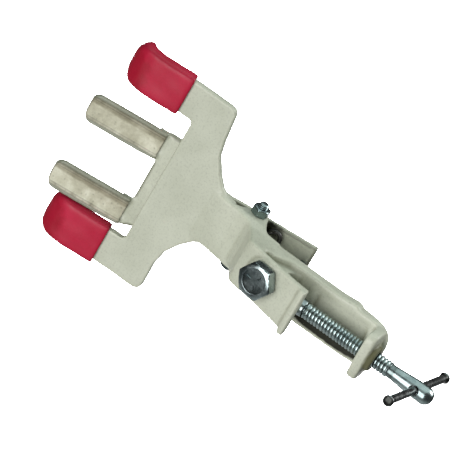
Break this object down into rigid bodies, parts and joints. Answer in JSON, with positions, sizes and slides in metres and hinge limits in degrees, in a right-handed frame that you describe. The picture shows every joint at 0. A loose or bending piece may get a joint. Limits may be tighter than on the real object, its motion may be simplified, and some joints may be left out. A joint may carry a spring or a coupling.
{
  "type": "laboratory retort clamp",
  "caption": "Retort stand clamp with a built-in boss head: wide dipped outer prongs, a swinging jaw with lined inner fingers, a hexagon jaw screw and a T-bar rod screw.",
  "frame": {"origin": "centre of the half-round rod seat in the boss, midway along the seat", "axes": "+Z along the stand rod, -X towards the prongs, +X towards the T-bar screw, -Y towards the side the jaw screw is turned from"},
  "size_m": [0.2155, 0.0692, 0.1112],
  "materials": {
    "paint": "cream powder coat over cast metal",
    "vinyl": "dipped red vinyl, satin",
    "lining": "beige mottled lining, matt",
    "zinc": "bright zinc-plated steel",
    "spring_steel": "dark oiled spring steel"
  },
  "bodies": {
    "clamp": {"clamp_body": "paint", "prong_cap_upper": "vinyl", "prong_cap_lower": "vinyl", "hinge_bolt": "zinc", "hinge_nut": "zinc"},
    "swing_jaw": {"finger_jaw": "paint", "finger_lining_upper": "lining", "finger_lining_lower": "lining", "jaw_spring": "spring_steel"},
    "jaw_screw": {"jaw_screw": "zinc"},
    "pad": {"screw_pad": "zinc"},
    "spindle": {"spindle": "zinc"},
    "bar": {"tommy_bar": "zinc"}
  },
  "joints": [
    {"name": "jaw_swing", "type": "hinge", "parent": "clamp", "child": "swing_jaw", "pos_m": [-0.0358, 0.024, 0], "axis": [0, 0, -1], "range_deg": [0, 24]},
    {"name": "jaw_screw_travel", "type": "slide", "parent": "clamp", "child": "jaw_screw", "axis": [-0.1736, -0.9848, 0], "range_m": [0, 0.0118]},
    {"name": "spindle_travel", "type": "slide", "parent": "clamp", "child": "pad", "axis": [1, 0, 0], "range_m": [-0.0094, 0.0265]},
    {"name": "spindle_turn", "type": "hinge", "parent": "pad", "child": "spindle", "pos_m": [0.05, 0, 0], "axis": [1, 0, 0], "range_deg": [-1885, 5305]},
    {"name": "bar_slide", "type": "slide", "parent": "spindle", "child": "bar", "axis": [-0.0872, -0.9898, 0.1128], "range_m": [-0.0225, 0.0225]}
  ],
  "couplings": [
    {"joint": "jaw_screw_travel", "follows": "jaw_swing", "m_per_rad": 0.028},
    {"joint": "spindle_turn", "follows": "spindle_travel", "rad_per_m": 3490.7}
  ]
}
